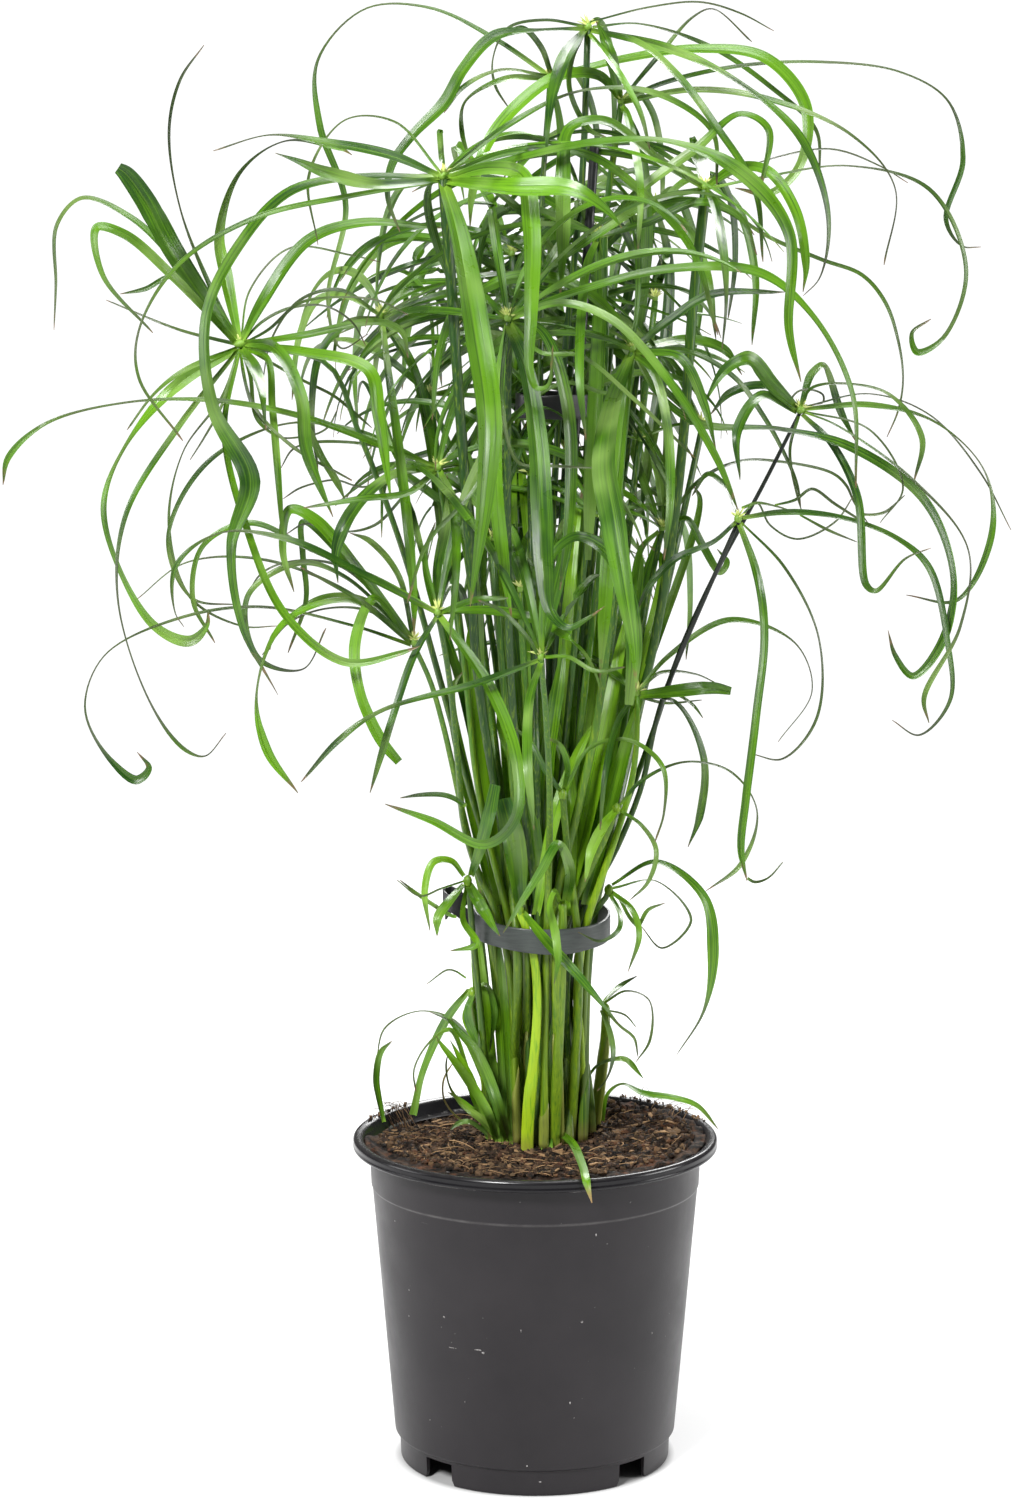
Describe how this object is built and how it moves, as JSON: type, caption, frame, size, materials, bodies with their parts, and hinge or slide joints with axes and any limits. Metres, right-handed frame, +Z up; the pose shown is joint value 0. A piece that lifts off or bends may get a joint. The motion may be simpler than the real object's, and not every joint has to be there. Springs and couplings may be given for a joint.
{
  "type": "potted umbrella sedge",
  "caption": "Umbrella sedge pond plant in a tapered plastic nursery pot, its tall stems strapped in a bundle under whorls of arching ribbon leaves.",
  "frame": {"origin": "centre of the whole plant's box at the underside of the pot's foot, which is the pot's own axis to within a few millimetres", "axes": "+Z up along the pot's axis; -Y is the side that the picture shows; +X to the picture's right"},
  "size_m": [0.5137, 0.4007, 0.7543],
  "materials": {
    "pot": "satin moulded",
    "soil": "moist peat and coir",
    "strap": "soft satin",
    "stake": "satin",
    "leaf": "waxy satin leaf",
    "stem": "smooth waxy stem",
    "young_growth": "waxy young leaf"
  },
  "bodies": {
    "root": {"pot": "pot", "soil": "soil", "strap": "strap", "strap_knot": "strap", "upper_tie": "strap", "stake": "stake", "crown_a": "leaf", "crown_b": "leaf", "crown_c": "leaf", "crown_d": "leaf", "crown_e": "leaf", "crown_f": "leaf", "crown_g": "leaf", "crown_h": "leaf", "crown_i": "leaf", "crown_j": "leaf", "crown_k": "leaf", "crown_l": "leaf", "crown_m": "leaf", "crown_n": "leaf", "crown_o": "leaf", "crown_p": "leaf", "crown_w": "leaf", "crown_x": "leaf", "crown_y": "leaf", "crown_z": "leaf", "stem_a": "stem", "stem_b": "stem", "stem_c": "stem", "stem_d": "stem", "stem_e": "stem", "stem_f": "stem", "stem_g": "stem", "stem_h": "stem", "stem_i": "stem", "stem_j": "stem", "stem_k": "stem", "stem_l": "stem", "stem_m": "stem", "stem_n": "stem", "stem_o": "stem", "stem_p": "stem", "stem_w": "stem", "stem_x": "stem", "stem_y": "stem", "stem_z": "stem", "shoot_folded": "young_growth", "shoot_inner": "young_growth", "shoot_left": "young_growth", "shoot_low_left": "young_growth", "shoot_low_right": "young_growth", "shoot_middle": "young_growth", "shoot_right": "young_growth", "shoot_upper_right": "young_growth", "sprout_far_right": "young_growth", "sprout_front": "young_growth", "sprout_near_left": "young_growth"}
  },
  "joints": []
}
